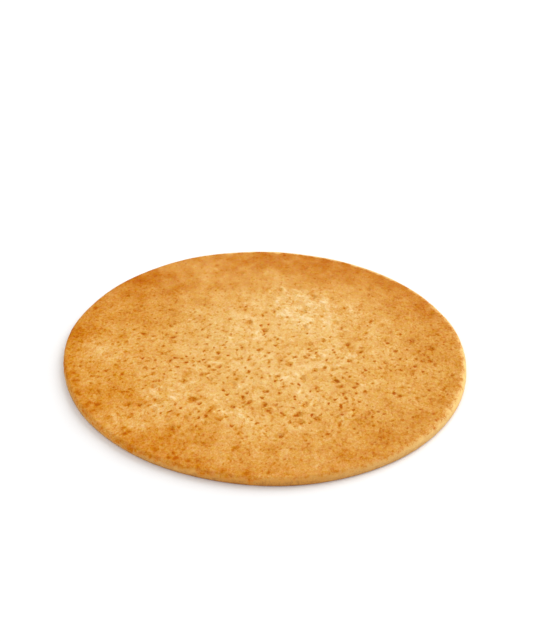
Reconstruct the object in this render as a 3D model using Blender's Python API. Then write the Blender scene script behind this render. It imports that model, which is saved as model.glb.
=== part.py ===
"""A khakhra: one thin, crisp round of roasted wheat flatbread, lying flat.

It is a single solid. Its top face is a slightly uneven sheet with low blisters and many small scorched pits,
and it falls a little towards the rim. The rim is rounded, and cut steeper on the -X, -Y side. The underside
has flat lands that lay on the griddle, with shallow hollows and fewer pits between them. The origin is the
centre of the underside, on the surface that it lies on. Lengths are in metres, and +Z is up.
"""

import math

import bmesh
import bpy
import numpy as np
from mathutils import Vector
from mathutils.geometry import delaunay_2d_cdt

NAME = "khakhra"

# Driving dimensions
DIAMETER = 0.120
THICKNESS = 0.0030

# The outline: a rolled round, cut by hand, with a few low waves round it
OUTLINE_WAVES = ((2, 0.00020), (3, 0.00015), (4, 0.00010), (7, 0.00006), (11, 0.00004))
OUTLINE_SEED = 1383
OUTLINE_STEPS = 120

# The rim, as widths in plan and heights of its upper and lower rounding. It is steepest in the direction
# RIM_STEEP, and widens from RIM_NEAR to RIM_FAR off it.
RIM_ROUND_LEAST = 0.0008
RIM_ROUND_MOST = 0.0020
RIM_STEEP = math.radians(-125.0)
RIM_NEAR = math.radians(45.0)
RIM_FAR = math.radians(88.0)
RIM_TOP_HEIGHT = 0.0018
RIM_FOOT_WIDTH = 0.0007
RIM_FOOT_HEIGHT = 0.0009
RIM_TURNS = (30.0, 62.0)
SHOULDER_WIDTH = 0.0060
SHOULDER_DROP = 0.00012

# The unevenness of the top face, as root mean square heights of plane waves
SWELL_LENGTHS = (0.052, 0.041, 0.033, 0.027, 0.022, 0.018)
SWELL_HEIGHT = 0.00008
SWELL_SEED = 11

# Low blisters on the top face
BLISTER_COUNT = 16
BLISTER_RADII = (0.0028, 0.0060)
BLISTER_HEIGHT_SHARE = 0.036
BLISTER_SEED = 23

# Pits, largest first: the half width of each is PIT_LARGEST / (1 + rank / PIT_FALL) ** PIT_POWER. They crowd
# in an oval round PIT_HEART, with the half widths PIT_SPREAD, and thin out to the share PIT_LEAST beyond it.
PIT_LARGEST = 0.00125
PIT_FALL = 60.0
PIT_POWER = 0.45
PIT_DEPTH_SHARE = 0.42
PIT_SIDES = 6
PIT_GAP = 0.0004
PIT_MARGIN = 0.0034
PIT_HEART = (0.003, -0.012)
PIT_SPREAD = (0.060, 0.038)
PIT_LEAST = 0.06
TOP_PITS = 230
TOP_PIT_SEED = 37
UNDER_PITS = 80
UNDER_PIT_SEED = 41

# The underside's hollows, between lands that lie flat
HOLLOW_LENGTHS = (0.034, 0.026, 0.021, 0.017, 0.013)
HOLLOW_HEIGHT = 0.00012
HOLLOW_SEED = 53
FLAT_SPOT = 0.009

# Spacing of the points that carry each face
TOP_SPACING = 0.0036
UNDER_SPACING = 0.0050
POINT_JITTER = 0.22
POINT_SEED = 67
POINT_MERGE = 1e-7

SHARP_EDGE = math.radians(50.0)
CRUST_COLOUR = (0.775, 0.376, 0.098, 1.0)
CRUST_ROUGHNESS = 0.62


def outline_radius(angle, phases):
    """Radius of the outline at an angle: the nominal radius plus a few low harmonics."""
    radius = DIAMETER / 2
    for (order, height), phase in zip(OUTLINE_WAVES, phases):
        radius = radius + height * np.cos(order * angle + phase)
    return radius


def rim_round(angle):
    """Plan width of the rim's upper rounding: an S-curve 3t^2 - 2t^3 of the turn away from RIM_STEEP."""
    turn = np.abs((angle - RIM_STEEP + math.pi) % (2.0 * math.pi) - math.pi)
    share = np.clip((turn - RIM_NEAR) / (RIM_FAR - RIM_NEAR), 0.0, 1.0)
    return RIM_ROUND_LEAST + (RIM_ROUND_MOST - RIM_ROUND_LEAST) * share**2 * (3.0 - 2.0 * share)


def plane_waves(x, y, lengths, height, seed):
    """Smooth unevenness: plane waves in seeded directions, with these lengths and root mean square height."""
    rng = np.random.default_rng(seed)
    total = np.zeros_like(x)
    for length in lengths:
        heading, phase = rng.uniform(0.0, 2.0 * math.pi, 2)
        total += np.cos(2.0 * math.pi * (x * math.cos(heading) + y * math.sin(heading)) / length + phase)
    return total * height / math.sqrt(len(lengths) / 2.0)


def blisters():
    """Centre and radius of each low blister, spread over the disc by a seeded draw."""
    rng = np.random.default_rng(BLISTER_SEED)
    found = []
    for radius in np.linspace(BLISTER_RADII[1], BLISTER_RADII[0], BLISTER_COUNT):
        reach = (DIAMETER / 2 - 2.0 * radius) * math.sqrt(rng.uniform())
        angle = rng.uniform(0.0, 2.0 * math.pi)
        found.append((reach * math.cos(angle), reach * math.sin(angle), radius))
    return found


def pits(count, seed, clear_centre=0.0):
    """Centre and half width of each pit, largest first, kept apart and crowded round PIT_HEART."""
    rng = np.random.default_rng(seed)
    reach = DIAMETER / 2 - PIT_MARGIN
    found = np.empty((0, 3))
    while len(found) < count:
        half = PIT_LARGEST / (1.0 + len(found) / PIT_FALL) ** PIT_POWER
        from_centre = reach * math.sqrt(rng.uniform())
        angle, keep = rng.uniform(0.0, 2.0 * math.pi), rng.uniform()
        spot = from_centre * np.array([math.cos(angle), math.sin(angle)])
        from_heart = math.hypot(*((spot - PIT_HEART) / PIT_SPREAD))
        likely = PIT_LEAST + (1.0 - PIT_LEAST) * math.exp(-(from_heart**2))
        if keep > likely or from_centre < clear_centre:
            continue
        apart = np.hypot(*(found[:, :2] - spot).T) - found[:, 2] - half
        if np.all(apart > PIT_GAP):
            found = np.vstack([found, [*spot, half]])
    return found


def top_height(x, y):
    """Height of the top face without its pits: swell plus blisters, less the shoulder's fall at the rim."""
    shoulder = np.clip(1.0 - (DIAMETER / 2 - np.hypot(x, y)) / SHOULDER_WIDTH, 0.0, 1.0) ** 2
    height = THICKNESS - SHOULDER_DROP * shoulder
    height = height + plane_waves(x, y, SWELL_LENGTHS, SWELL_HEIGHT, SWELL_SEED)
    for centre_x, centre_y, radius in blisters():
        near = np.clip(1.0 - ((x - centre_x) ** 2 + (y - centre_y) ** 2) / radius**2, 0.0, 1.0)
        height = height + BLISTER_HEIGHT_SHARE * radius * near**2
    return height


def under_height(x, y):
    """Height of the underside without its pits: flat lands at zero, with shallow hollows between them."""
    waves = plane_waves(x, y, HOLLOW_LENGTHS, HOLLOW_HEIGHT, HOLLOW_SEED)
    reach = np.hypot(x, y)
    inside = np.clip((reach - FLAT_SPOT) / FLAT_SPOT, 0.0, 1.0)
    outside = np.clip((DIAMETER / 2 - PIT_MARGIN - reach) / PIT_MARGIN, 0.0, 1.0)
    return np.maximum(waves - HOLLOW_HEIGHT / 2.0, 0.0) * inside * outside


def lattice(spacing, reach, rng):
    """Points of a jittered triangular lattice within a circle of this reach."""
    rows = int(reach / (spacing * math.sqrt(0.75))) + 1
    columns = int(reach / spacing) + 2
    points = []
    for row in range(-rows, rows + 1):
        for column in range(-columns, columns + 1):
            shift_x, shift_y = rng.uniform(-POINT_JITTER, POINT_JITTER, 2) * spacing
            x = (column + 0.5 * (row % 2)) * spacing + shift_x
            y = row * spacing * math.sqrt(0.75) + shift_y
            if math.hypot(x, y) < reach:
                points.append((x, y))
    return np.array(points)


def face_sheet(ring, spots, spacing, height, push, rng):
    """Triangulates one face of the disc.

    ring is the plan outline that closes it, spots its pits, and height its surface as a function of x and y.
    push is the direction into the bread, -1 for the top face and 1 for the underside. Returns the points, the
    triangles and the index of each ring point among the points.
    """
    turns = np.arange(PIT_SIDES) * 2.0 * math.pi / PIT_SIDES
    plan = [(x, y) for x, y in ring]
    drops = [0.0] * len(ring)
    for x, y, half in spots:
        start = rng.uniform(0.0, 2.0 * math.pi)
        plan.append((x, y))
        drops.append(PIT_DEPTH_SHARE * half)
        plan += [(x + half * math.cos(turn + start), y + half * math.sin(turn + start)) for turn in turns]
        drops += [0.0] * PIT_SIDES
    inner_reach = np.hypot(*ring.T).min() - spacing / 2.0
    for x, y in lattice(spacing, inner_reach, rng):
        if np.all(np.hypot(spots[:, 0] - x, spots[:, 1] - y) > spots[:, 2] + spacing / 4.0):
            plan.append((x, y))
            drops.append(0.0)
    plan, drops = np.array(plan), np.array(drops)
    level = height(plan[:, 0], plan[:, 1]) + push * drops
    flat = [Vector(point) for point in plan]
    made, _, triangles, sources, _, _ = delaunay_2d_cdt(flat, [], [list(range(len(ring)))], 1, POINT_MERGE)
    points = np.array([(*made[i], level[source[0]]) for i, source in enumerate(sources)])
    place = {source: i for i, group in enumerate(sources) for source in group}
    return points, triangles, [place[i] for i in range(len(ring))]


def rim_rings(angles, outer):
    """The rim's rings between the two faces, as arrays of x, y and z, from the top one down."""
    upper, foot = rim_round(angles), np.full_like(angles, RIM_FOOT_WIDTH)
    top = top_height((outer - upper) * np.cos(angles), (outer - upper) * np.sin(angles))
    turns = [math.radians(turn) for turn in RIM_TURNS]
    sections = [(upper * (1.0 - math.sin(t)), top - RIM_TOP_HEIGHT * (1.0 - math.cos(t))) for t in turns]
    sections.append((np.zeros_like(angles), 0.5 * (top - RIM_TOP_HEIGHT) + 0.5 * RIM_FOOT_HEIGHT))
    sections += [
        (foot * (1.0 - math.sin(t)), np.full_like(angles, RIM_FOOT_HEIGHT * (1.0 - math.cos(t))))
        for t in reversed(turns)
    ]
    return [
        np.column_stack([(outer - inset) * np.cos(angles), (outer - inset) * np.sin(angles), level])
        for inset, level in sections
    ]


def khakhra_mesh():
    """The whole solid: two triangulated faces joined by the rings of the rounded rim."""
    rng = np.random.default_rng(POINT_SEED)
    angles = np.arange(OUTLINE_STEPS) * 2.0 * math.pi / OUTLINE_STEPS
    phases = np.random.default_rng(OUTLINE_SEED).uniform(0.0, 2.0 * math.pi, len(OUTLINE_WAVES))
    outer = outline_radius(angles, phases)
    directions = np.column_stack([np.cos(angles), np.sin(angles)])

    top_ring = directions * (outer - rim_round(angles))[:, None]
    under_ring = directions * (outer - RIM_FOOT_WIDTH)[:, None]
    top = face_sheet(top_ring, pits(TOP_PITS, TOP_PIT_SEED), TOP_SPACING, top_height, -1.0, rng)
    under_spots = pits(UNDER_PITS, UNDER_PIT_SEED, clear_centre=FLAT_SPOT)
    under = face_sheet(under_ring, under_spots, UNDER_SPACING, under_height, 1.0, rng)

    solid = bmesh.new()
    loops = []
    for points, triangles, ring in (top, under):
        verts = [solid.verts.new(point) for point in points]
        for triangle in triangles:
            solid.faces.new([verts[i] for i in triangle])
        loops.append([verts[i] for i in ring])
    between = [[solid.verts.new(point) for point in ring] for ring in rim_rings(angles, outer)]
    stack = [loops[0], *between, loops[1]]
    for above, below in zip(stack, stack[1:]):
        for i in range(OUTLINE_STEPS):
            j = (i + 1) % OUTLINE_STEPS
            solid.faces.new([above[i], above[j], below[j], below[i]])

    low = [min(vert.co[axis] for vert in solid.verts) for axis in range(2)]
    high = [max(vert.co[axis] for vert in solid.verts) for axis in range(2)]
    centre = Vector(((low[0] + high[0]) / 2.0, (low[1] + high[1]) / 2.0, 0.0))
    bmesh.ops.translate(solid, verts=solid.verts, vec=-centre)
    bmesh.ops.triangulate(solid, faces=solid.faces)
    bmesh.ops.recalc_face_normals(solid, faces=solid.faces)
    mesh = bpy.data.meshes.new(NAME)
    solid.to_mesh(mesh)
    solid.free()
    return mesh


def crust_material():
    """Golden roasted wheat crust."""
    material = bpy.data.materials.new("roasted_crust")
    material.use_nodes = True
    shader = material.node_tree.nodes["Principled BSDF"]
    shader.inputs["Base Color"].default_value = CRUST_COLOUR
    shader.inputs["Roughness"].default_value = CRUST_ROUGHNESS
    return material


def build():
    """Clears the scene and puts the khakhra in a collection of its own."""
    for old in list(bpy.data.objects):
        bpy.data.objects.remove(old)
    collection = bpy.data.collections.new(NAME)
    bpy.context.scene.collection.children.link(collection)
    bread = bpy.data.objects.new(NAME, khakhra_mesh())
    bread.data.materials.append(crust_material())
    bread.data.shade_smooth()
    bread.data.set_sharp_from_angle(angle=SHARP_EDGE)
    collection.objects.link(bread)


build()
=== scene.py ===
"""A khakhra, dressed and lit: one thin round of roasted wheat flatbread on a pale floor.

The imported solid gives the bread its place, size and coarse relief. Bread makes the same form again as one
closed, finer mesh, from the same named values and seeds, and adds the small bubbles, the creases and the
floury grain. It also leaves on the mesh what the finish reads at each point: how toasted the crust is there,
how scorched, how creased, and how far it is from the rim. RoastedCrust turns those into colour, gloss and
bump. Studio holds the floor, the lights and the camera. Lengths are in metres, +Z is up, and the origin is
the centre of the underside.
"""

import logging
import math
from dataclasses import dataclass, field
from enum import Enum
from typing import Any

import bpy
import numpy as np
from mathutils import Matrix, Vector
from numpy.typing import NDArray

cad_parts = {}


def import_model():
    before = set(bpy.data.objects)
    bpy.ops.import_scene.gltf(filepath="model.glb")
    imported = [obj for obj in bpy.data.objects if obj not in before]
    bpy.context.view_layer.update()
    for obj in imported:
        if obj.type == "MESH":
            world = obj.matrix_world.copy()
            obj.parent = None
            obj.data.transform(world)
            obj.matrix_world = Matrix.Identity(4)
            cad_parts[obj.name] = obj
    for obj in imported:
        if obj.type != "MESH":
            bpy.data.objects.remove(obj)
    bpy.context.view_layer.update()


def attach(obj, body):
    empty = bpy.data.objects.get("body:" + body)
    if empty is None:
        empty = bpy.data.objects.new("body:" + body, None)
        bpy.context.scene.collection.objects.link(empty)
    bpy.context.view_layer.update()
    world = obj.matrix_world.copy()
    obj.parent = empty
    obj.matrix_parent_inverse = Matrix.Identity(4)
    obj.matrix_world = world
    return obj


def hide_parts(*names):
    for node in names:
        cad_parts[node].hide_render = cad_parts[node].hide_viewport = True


LOG = logging.getLogger("khakhra")
Array = NDArray[np.float64]

MM = 0.001
PER_MM = 1000.0  # a pattern's scale, in bumps per metre, when its bumps are a millimetre wide
TURN = 2.0 * math.pi


def linear(hex_colour: str) -> tuple[float, float, float, float]:
    """Turns an sRGB hex colour into linear red, green and blue with full alpha.

    Args:
        hex_colour: six hex digits, such as "EBBD72".

    Returns:
        The linear colour: each channel c becomes c / 12.92 up to 0.04045, and ((c + 0.055) / 1.055) ** 2.4
        above that.
    """
    channels = [int(hex_colour[i : i + 2], 16) / 255.0 for i in (0, 2, 4)]
    red, green, blue = (c / 12.92 if c <= 0.04045 else ((c + 0.055) / 1.055) ** 2.4 for c in channels)
    return red, green, blue, 1.0


def smooth_step(value: Array, start: float, end: float) -> Array:
    """The S-curve 3t^2 - 2t^3, where t goes from 0 at start to 1 at end."""
    t = np.clip((value - start) / (end - start), 0.0, 1.0)
    return t * t * (3.0 - 2.0 * t)


def turn_between(angle: Array, heading: float) -> Array:
    """The turn between each angle and a heading, from 0 to half a turn."""
    return np.abs((angle - heading + math.pi) % TURN - math.pi)


def corner_numbers(corners: NDArray[np.int64], seed: int) -> Array:
    """Repeatable random numbers for whole-numbered lattice corners.

    Args:
        corners: an array (..., 3) of whole numbers.
        seed: which set of numbers.

    Returns:
        Numbers from -1 to 1: the corner's three numbers are multiplied by large numbers and summed, and the
        sum is stirred twice by a shift, an exclusive or and a multiplication, all within 32 bits.
    """
    mask = 0xFFFFFFFF
    mixed = (corners[..., 0] * 374761393 + corners[..., 1] * 668265263 + corners[..., 2] * 974634777) & mask
    mixed = (mixed + seed * 1274126177) & mask
    mixed = ((mixed ^ (mixed >> 13)) * 1103515245) & mask
    mixed = ((mixed ^ (mixed >> 15)) * 1274126177) & mask
    return ((mixed ^ (mixed >> 16)) & 0xFFFF) / 32767.5 - 1.0


def lattice_noise(points: Array, cell: float, seed: int) -> Array:
    """Soft noise from -1 to 1 at each point of an array (n, 3), with bumps about one cell wide.

    The space is cut into cubes of side cell, turned off the axes. Each corner has a random number, and inside
    a cube the eight are blended by the quintic 6t^5 - 15t^4 + 10t^3 along each axis.

    Args:
        points: an array (n, 3).
        cell: width of a bump.
        seed: which noise.

    Returns:
        A number for each point.
    """
    turn = np.array([[0.80, 0.60, 0.0], [-0.48, 0.64, 0.60], [0.36, -0.48, 0.80]])
    place = points @ turn.T / cell + 0.5 * seed
    low = np.floor(place)
    t = place - low
    fade = t * t * t * (t * (6.0 * t - 15.0) + 10.0)
    low = low.astype(np.int64)
    total = np.zeros(len(points))
    for corner in np.ndindex(2, 2, 2):
        weight = np.prod(np.where(corner, fade, 1.0 - fade), axis=1)
        total += weight * corner_numbers(low + np.array(corner), seed)
    return total


def fractal_noise(points: Array, cell: float, octaves: int, seed: int) -> Array:
    """Lattice noise summed over octaves, each with half the cell and half the height of the one before."""
    layers = [lattice_noise(points, cell / 2**i, seed + i) / 2**i for i in range(octaves)]
    return np.sum(layers, axis=0)


def plane_waves(x: Array, y: Array, lengths: tuple[float, ...], height: float, seed: int) -> Array:
    """Cosine waves of these lengths in seeded directions, summed to this root mean square height.

    Args:
        x: plan coordinates of the points along +X.
        y: the same along +Y.
        lengths: the wavelengths.
        height: the root mean square of the sum.
        seed: draws each wave's direction and phase.

    Returns:
        The height at each point.
    """
    rng = np.random.default_rng(seed)
    total = np.zeros_like(x)
    for length in lengths:
        heading, phase = rng.uniform(0.0, TURN, 2)
        total += np.cos(TURN * (x * math.cos(heading) + y * math.sin(heading)) / length + phase)
    return total * height / math.sqrt(len(lengths) / 2.0)


def disc_grid(steps: int) -> tuple[Array, Array]:
    """A square grid bent into a disc of radius 1, with equal areas in all its cells.

    A point (a, b) of the square goes to the circle whose radius is the larger of |a| and |b|. Along each side
    of that square the angle grows evenly, by a quarter turn, so the outermost points are evenly spaced.

    Args:
        steps: cells along each side of the square, an even number.

    Returns:
        Each point's distance from the centre and its angle, as flat arrays of (steps + 1) squared numbers.
    """
    line = np.linspace(-1.0, 1.0, steps + 1)
    a, b = (grid.ravel() for grid in np.meshgrid(line, line, indexing="ij"))
    leads = np.abs(a) > np.abs(b)
    signed = np.where(leads, a, b)
    share = np.divide(np.where(leads, b, a), signed, out=np.zeros_like(a), where=signed != 0)
    angle = np.where(leads, math.pi / 4 * share, math.pi / 2 - math.pi / 4 * share)
    return np.abs(signed), np.where(signed < 0, angle + math.pi, angle) % TURN


def grid_quads(steps: int) -> NDArray[np.int64]:
    """The quads of a square grid of (steps + 1) squared points, facing up when its first axis is +X.

    Args:
        steps: cells along each side of the grid.

    Returns:
        An array (steps squared, 4) of numbers of points.
    """
    index = np.arange((steps + 1) ** 2).reshape(steps + 1, steps + 1)
    corners = [index[:-1, :-1], index[1:, :-1], index[1:, 1:], index[:-1, 1:]]
    return np.stack(corners, axis=-1).reshape(-1, 4)


def grid_border(steps: int) -> NDArray[np.int64]:
    """The outermost points of disc_grid, in order of angle from zero.

    Args:
        steps: cells along each side of the grid.

    Returns:
        The numbers of 4 * steps points.
    """
    radius, angle = disc_grid(steps)
    border = np.flatnonzero(radius > 1.0 - 0.5 / steps)
    return border[np.argsort(angle[border])]


def add_node(tree: bpy.types.NodeTree, kind: str, links: dict[Any, Any], **settings: Any) -> bpy.types.Node:
    """Adds a shader node.

    Args:
        tree: the node tree it goes in.
        kind: the node's type name, without the leading "ShaderNode".
        links: for each input, by name or number, an output socket to link to it or a value to set on it.
        settings: the node's own properties. stops is a colour ramp's list of places and hex colours.

    Returns:
        The new node.
    """
    node = tree.nodes.new("ShaderNode" + kind)
    stops = settings.pop("stops", [])
    for name, value in settings.items():
        setattr(node, name, value)
    for index, (place, colour) in enumerate(stops):
        elements = node.color_ramp.elements
        element = elements[index] if index < 2 else elements.new(place)
        element.position = place
        element.color = linear(colour)
    for key, value in links.items():
        if isinstance(value, bpy.types.NodeSocket):
            tree.links.new(value, node.inputs[key])
        else:
            node.inputs[key].default_value = value
    return node


class Mark(Enum):
    """What the mesh tells the finish at each of its points."""

    TOAST = "toast"  # browning of the whole crust: 0 where it stays floury and pale, 1 where it would scorch
    CHAR = "char"  # a cone over each burst bubble: 0 outside its halo, rising evenly to its centre
    BURN = "burn"  # how hard the bubble at this point was burnt, from 0 to 1
    ALONG = "along"  # distance from the bubble's burnt core along its slant, 1 at the core's edge
    ACROSS = "across"  # the same across its slant
    CREASE = "crease"  # 0 on flat crust, 1 on the crest of a raised crease, whose paleness is partly painted highlight
    PUCKER = "pucker"  # 1 where the skin puckered into small swellings, pale partly as painted highlight, 0 where it stayed flat
    LIVELY = "lively"  # 1 where the dough bubbled most, falling towards 0 at the rim
    GRAINY = "grainy"  # how much the grain of the flour shows
    RICH = "rich"  # 1 where the crust is of a purer orange, and 0 where it is plain
    BROW = "brow"  # distance in millimetres from the outermost line of the rim, up over the top, down below
    BARE_AND_LIT = "bare_and_lit"  # 1 and more in the pale band on the rim's side, -1 and less on the roasted top; the band is partly unroasted, partly painted light
    CREAM = "cream"  # colour of the pale side band: 0 where it is tan, 1 where it is cream; partly its own colour, partly painted light and shade


Socket = bpy.types.NodeSocket
Marks = dict[Mark, Socket]
Noises = dict[str, Socket]


@dataclass(frozen=True)
class Outline:
    """The plan outline of a round that was rolled and cut by hand, and the rounding of its rim."""

    diameter: float = 120.0 * MM
    waves: tuple[tuple[int, float], ...] = (
        (2, 0.20 * MM),
        (3, 0.15 * MM),
        (4, 0.10 * MM),
        (7, 0.06 * MM),
        (11, 0.04 * MM),
    )
    seed: int = 1383
    round_least: float = 0.8 * MM
    round_most: float = 2.0 * MM
    steep: float = math.radians(-125.0)
    steep_turns: tuple[float, float] = (math.radians(45.0), math.radians(88.0))
    foot_width: float = 0.7 * MM

    def radius(self, angle: Array) -> Array:
        """Outermost radius at an angle: half the diameter plus a few low waves round it.

        Args:
            angle: azimuths in radians.

        Returns:
            A radius in metres for each.
        """
        phases = np.random.default_rng(self.seed).uniform(0.0, TURN, len(self.waves))
        total = np.full_like(angle, self.diameter / 2)
        for (order, height), phase in zip(self.waves, phases):
            total += height * np.cos(order * angle + phase)
        return total

    def top_rounding(self, angle: Array) -> Array:
        """Plan width of the rim's upper rounding: least towards steep, and wider over steep_turns off it."""
        wider = smooth_step(turn_between(angle, self.steep), *self.steep_turns)
        return self.round_least + (self.round_most - self.round_least) * wider


@dataclass(frozen=True)
class Pits:
    """Burst bubbles, largest first: pit n's half width is largest / (1 + n / fall) ** power, or least_half.

    They crowd in an oval round the heart, with the half widths spread, and thin out to the share least.
    """

    count: int
    seed: int
    clear_centre: float = 0.0
    largest: float = 1.25 * MM
    fall: float = 60.0
    power: float = 0.45
    gap: float = 0.4 * MM
    margin: float = 3.4 * MM
    heart: tuple[float, float] = (3.0 * MM, -12.0 * MM)
    spread: tuple[float, float] = (60.0 * MM, 38.0 * MM)
    least: float = 0.06
    least_half: float = 0.45 * MM

    def scatter(self, diameter: float) -> Array:
        """Draws the pits one by one, crowded round the heart and kept apart.

        Args:
            diameter: of the bread.

        Returns:
            An array (count, 3) of each pit's x, y and half width.
        """
        rng = np.random.default_rng(self.seed)
        reach = diameter / 2 - self.margin
        found = np.empty((0, 3))
        while len(found) < self.count:
            half = max(self.least_half, self.largest / (1.0 + len(found) / self.fall) ** self.power)
            from_centre = reach * math.sqrt(rng.uniform())
            angle, keep = rng.uniform(0.0, TURN), rng.uniform()
            spot = from_centre * np.array([math.cos(angle), math.sin(angle)])
            from_heart = math.hypot(*((spot - self.heart) / self.spread))
            likely = self.least + (1.0 - self.least) * math.exp(-(from_heart**2))
            if keep > likely or from_centre < self.clear_centre:
                continue
            apart = np.hypot(*(found[:, :2] - spot).T) - found[:, 2] - half
            if np.all(apart > self.gap):
                found = np.vstack([found, [*spot, half]])
        return found


@dataclass(frozen=True)
class Patch:
    """A soft round patch where the crust came out browner, or paler where brown is negative."""

    x: float
    y: float
    radius: float
    brown: float

    def amount(self, x: Array, y: Array) -> Array:
        """The patch's share at each point: 1 at its centre, falling as exp(-(distance / radius)^2)."""
        return np.exp(-((x - self.x) ** 2 + (y - self.y) ** 2) / self.radius**2)


@dataclass(frozen=True)
class Wrinkles:
    """A group of short raised creases in the skin, pale partly as painted highlight, scattered round a point
    where it puckered.
    """

    x: float
    y: float
    spread: float
    count: int
    pucker: float


@dataclass(frozen=True)
class RimPlace:
    """How the pale band on the side of the rim runs at one azimuth, in degrees.

    The band reaches up to its given height, in millimetres of brow, with a border feathered over twice the
    feather, and cream is its colour, as in Mark. It is partly the side's own unroasted colour and partly
    painted light.
    """

    azimuth: float
    bare_and_lit_to: float
    cream: float
    feather: float


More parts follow.
